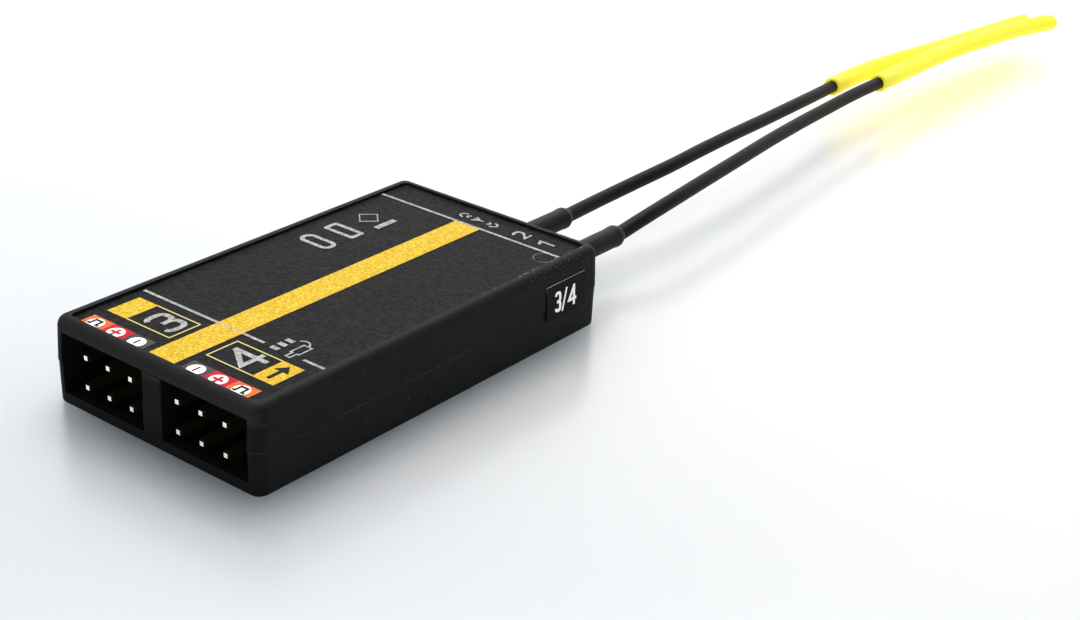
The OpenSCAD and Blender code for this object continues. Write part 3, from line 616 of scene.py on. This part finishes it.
# finishes, by the record's material slots
finishes = {
    "case_black": {"dark": (0.0085, 0.0088, 0.01), "light": (0.0178, 0.0182, 0.0202), "rough": 0.62,
                   "gloss": 0.1, "cell": 4600.0, "coarse": 500.0, "bump": 0.9, "depth": 0.03,
                   "dust": 0.07, "dustScale": 1500.0},
    "label_black": {"dark": (0.0008, 0.0008, 0.001), "light": (0.0165, 0.0165, 0.017), "rough": 0.55,
                    "gloss": 0.05, "cell": 2600.0, "coarse": 900.0, "mix": 0.15, "spread": 0.1,
                    "bump": 1.0, "depth": 0.05},
    "print_yellow": {"dark": (0.71, 0.4, 0.011), "light": (0.93, 0.67, 0.072), "rough": 0.55,
                     "gloss": 0.05, "cell": 6600.0, "coarse": 2600.0, "mix": 0.2, "spread": 0.06,
                     "bump": 0.8, "depth": 0.03},
    "print_grey": {"dark": (0.26, 0.26, 0.25), "light": (0.62, 0.62, 0.6), "rough": 0.55,
                   "gloss": 0.08, "cell": 3800.0, "coarse": 2400.0, "mix": 0.4, "spread": 0.13, "bump": 0.6},
    "print_orange": {"dark": (0.76, 0.1, 0.035), "light": (0.9, 0.24, 0.05), "rough": 0.55,
                     "gloss": 0.06, "cell": 3600.0, "coarse": 500.0, "mix": 0.6, "bump": 0.4},
    "print_red": {"dark": (0.52, 0.008, 0.03), "light": (0.74, 0.02, 0.055), "rough": 0.55,
                  "gloss": 0.06, "cell": 3600.0, "coarse": 500.0, "mix": 0.6, "bump": 0.4},
    "print_brown": {"dark": (0.05, 0.04, 0.04), "light": (0.12, 0.1, 0.1), "rough": 0.55,
                    "gloss": 0.06, "cell": 4200.0, "coarse": 1500.0, "bump": 0.4},
    # painted light: the white print glows to look brighter
    "print_white": {"dark": (0.86, 0.85, 0.83), "light": (0.95, 0.95, 0.93), "rough": 0.5,
                    "gloss": 0.2, "cell": 3600.0, "coarse": 700.0, "bump": 0.3, "glow": 0.4},
    "print_black": {"dark": (0.006, 0.006, 0.006), "light": (0.012, 0.012, 0.012), "rough": 0.55,
                    "gloss": 0.06, "cell": 3600.0, "coarse": 700.0, "bump": 0.3},
    "sticker_black": {"dark": (0.002, 0.002, 0.0025), "light": (0.005, 0.005, 0.006), "rough": 0.5,
                      "gloss": 0.08, "cell": 2500.0, "coarse": 500.0, "bump": 0.15, "depth": 0.01},
    "block_black": {"dark": (0.004, 0.004, 0.004), "light": (0.008, 0.008, 0.008), "rough": 0.55,
                    "gloss": 0.2, "cell": 3500.0, "coarse": 600.0, "bump": 0.3},
    # painted light: the pins glow
    "gold_plate": {"dark": (0.82, 0.66, 0.36), "light": (0.94, 0.82, 0.52), "rough": 0.2, "metal": 1.0,
                   "cell": 4000.0, "coarse": 1200.0, "bump": 0.12, "depth": 0.01, "roughSpread": 0.05,
                   "glow": 0.28},
    "tin": {"dark": (0.5, 0.51, 0.53), "light": (0.66, 0.67, 0.69), "rough": 0.3, "metal": 1.0,
            "cell": 3000.0, "coarse": 600.0, "bump": 0.2, "depth": 0.01},
    "board_green": {"dark": (0.005, 0.06, 0.03), "light": (0.012, 0.12, 0.055), "rough": 0.3,
                    "coat": 0.3, "cell": 2500.0, "coarse": 500.0, "bump": 0.2},
    "chip_black": {"dark": (0.012, 0.012, 0.013), "light": (0.024, 0.024, 0.026), "rough": 0.6,
                   "cell": 4000.0, "coarse": 700.0, "bump": 0.4},
    "tantalum_yellow": {"dark": (0.5, 0.28, 0.03), "light": (0.65, 0.4, 0.06), "rough": 0.5,
                        "cell": 3000.0, "coarse": 700.0, "bump": 0.3},
    "ceramic_tan": {"dark": (0.28, 0.19, 0.1), "light": (0.4, 0.28, 0.17), "rough": 0.5,
                    "cell": 4000.0, "coarse": 900.0, "bump": 0.3},
    "lamp_clear": {"dark": (0.6, 0.66, 0.55), "light": (0.78, 0.82, 0.7), "rough": 0.2,
                   "cell": 2000.0, "coarse": 500.0, "bump": 0.1, "soft": 0.3},
    "boot_black": {"dark": (0.006, 0.006, 0.007), "light": (0.013, 0.0128, 0.0145), "rough": 0.55,
                   "gloss": 0.2, "cell": 3200.0, "coarse": 600.0, "bump": 0.5, "depth": 0.03,
                   "dust": 0.1, "dustScale": 1700.0},
    "coax_black": {"dark": (0.006, 0.006, 0.0072), "light": (0.012, 0.012, 0.0138), "rough": 0.5,
                   "gloss": 0.12, "cell": 2600.0, "coarse": 500.0, "bump": 0.35, "depth": 0.03,
                   "dust": 0.08, "dustScale": 1700.0},
    # painted light: the sleeves glow to look brighter
    "sleeve_yellow": {"dark": (0.98, 0.86, 0.04), "light": (1.0, 0.93, 0.07), "rough": 0.5,
                      "gloss": 0.2, "cell": 1800.0, "coarse": 240.0, "bump": 0.2, "soft": 0.8,
                      "softScale": 0.0016, "glow": 0.34, "clearShadow": 0.9},
}
materials = {slot: grainedMaterial(slot, look) for slot, look in finishes.items()}
print("finishes made")


def dress(piece, material):
    piece.data.materials.clear()
    piece.data.materials.append(material)


for part in frame["record"]["subparts"]:
    dress(nodes[part["node"]], materials[part["material_slot"]])
for pieces, slot in ((leads, "coax_black"), (boots, "boot_black"), (sleeves, "sleeve_yellow")):
    for piece in pieces:
        dress(piece, materials[slot])
print("pieces dressed")

# studio: pale glossy table, a wide soft light behind and above, bright backdrop, dimmer room in front
tableLook = {
    "size": 8.0,
    # the near tone is painted shade
    "near": (0.69, 0.725, 0.75),
    "far": (0.86, 0.865, 0.87),
    "slope": (6.0, 9.0, 0.0),
    "slopeEnds": (-0.35, 0.75),
    "ior": 2.2,
    "scatter": 0.02,
    "scatterTint": (0.9, 1.0, 1.0),
    "rough": (0.2, 0.3),
    "cloudScale": 14.0,
    "warm": (0.8, 0.66, 0.5),
    "warmPlace": (0.0076, 0.097, 0.0),
    "warmEnds": (0.032, 0.004),
    "warmShare": 0.35,
}
softbox = {"place": (-0.2, 0.26, 0.66), "size": 0.5, "power": 5.2}
surroundLook = {
    "sky": 0.4,
    "backdrop": 2.2,
    "darkSide": 0.05,
    "behind": ((-0.45, 0.89, 0.1), (0.3, 0.9)),
    "overhead": ((0, 0, 1), (0.4, 0.62)),
    "front": ((0.8, -0.55, 0.3), (0.75, 0.97)),
}


def fade(tree, value, ends, share=1.0):
    # 0 to share as the value goes from one end to the other
    ease = add(tree, "ShaderNodeMapRange", interpolation_type="SMOOTHSTEP")
    ease.inputs["From Min"].default_value = ends[0]
    ease.inputs["From Max"].default_value = ends[1]
    ease.inputs["To Max"].default_value = share
    link(tree, value, ease.inputs["Value"])
    return ease.outputs["Result"]


def makeTable(look):
    mesh = bpy.data.meshes.new("tableTop")
    half = look["size"] / 2
    corners = [(-half, -half, 0), (half, -half, 0), (half, half, 0), (-half, half, 0)]
    mesh.from_pydata(corners, [], [(0, 1, 2, 3)])
    table = bpy.data.objects.new("tableTop", mesh)
    bpy.context.scene.collection.objects.link(table)
    made, tree = newMaterial("whiteAcrylic")
    out = add(tree, "ShaderNodeOutputMaterial")
    shader = add(tree, "ShaderNodeBsdfPrincipled")
    shader.inputs["IOR"].default_value = look["ior"]
    shader.inputs["Subsurface Weight"].default_value = 1.0
    shader.inputs["Subsurface Scale"].default_value = look["scatter"]
    shader.inputs["Subsurface Radius"].default_value = look["scatterTint"]
    where = add(tree, "ShaderNodeTexCoord")
    # painted shade: cooler and darker towards the near left
    slope = add(tree, "ShaderNodeVectorMath", operation="DOT_PRODUCT")
    slope.inputs[1].default_value = look["slope"]
    link(tree, where.outputs["Object"], slope.inputs[0])
    away = fade(tree, slope.outputs["Value"], look["slopeEnds"])
    colour = toneRamp(tree, away, look["near"], look["far"], 0.0, 1.0)
    # faint warm light thrown down by the yellow sleeves
    spot = add(tree, "ShaderNodeVectorMath", operation="DISTANCE")
    spot.inputs[1].default_value = look["warmPlace"]
    link(tree, where.outputs["Object"], spot.inputs[0])
    warm = fade(tree, spot.outputs["Value"], look["warmEnds"], look["warmShare"])
    link(tree, tint(tree, colour, look["warm"], warm), shader.inputs["Base Color"])
    clouds = add(tree, "ShaderNodeTexNoise", Scale=look["cloudScale"], Detail=2.0)
    rough = add(tree, "ShaderNodeMapRange")
    rough.inputs["To Min"].default_value, rough.inputs["To Max"].default_value = look["rough"]
    link(tree, where.outputs["Object"], clouds.inputs["Vector"])
    link(tree, clouds.outputs["Fac"], rough.inputs["Value"])
    link(tree, rough.outputs["Result"], shader.inputs["Roughness"])
    link(tree, shader.outputs["BSDF"], out.inputs["Surface"])
    dress(table, made)


def makeSoftLight(name, light):
    data = bpy.data.lights.new(name, "AREA")
    data.size = light["size"]
    data.energy = light["power"]
    lamp = bpy.data.objects.new(name, data)
    bpy.context.scene.collection.objects.link(lamp)
    place = Vector(light["place"])
    lamp.location = place
    lamp.rotation_mode = "QUATERNION"
    lamp.rotation_quaternion = (-place).to_track_quat("-Z", "Y")


def lobe(tree, where, direction, ends):
    # 0 to 1 as the direction of a ray comes near the named one
    side = add(tree, "ShaderNodeVectorMath", operation="DOT_PRODUCT")
    side.inputs[1].default_value = Vector(direction).normalized()
    link(tree, where.outputs["Generated"], side.inputs[0])
    return fade(tree, side.outputs["Value"], ends)


def blend(tree, factor, low, high):
    # value from low to high
    mix = add(tree, "ShaderNodeMix", data_type="FLOAT")
    link(tree, factor, mix.inputs[0])
    feed(tree, low, mix.inputs[2])
    feed(tree, high, mix.inputs[3])
    return mix.outputs[0]


def makeSurround(look):
    # bright low band behind the part, dim elsewhere, dark on the camera's side
    world = bpy.data.worlds.new("surround")
    bpy.context.scene.world = world
    world.use_nodes = True
    tree = world.node_tree
    tree.nodes.clear()
    out = add(tree, "ShaderNodeOutputWorld")
    sky = add(tree, "ShaderNodeBackground")
    where = add(tree, "ShaderNodeTexCoord")
    behind, overhead, front = (lobe(tree, where, *look[side]) for side in ("behind", "overhead", "front"))
    bright = blend(tree, overhead, look["backdrop"], look["sky"])
    plain = blend(tree, front, look["sky"], look["darkSide"])
    link(tree, blend(tree, behind, plain, bright), sky.inputs["Strength"])
    link(tree, sky.outputs["Background"], out.inputs["Surface"])


makeTable(tableLook)
makeSoftLight("rearSoftbox", softbox)
makeSurround(surroundLook)
bpy.context.scene.view_settings.view_transform = "Standard"
print("studio made")
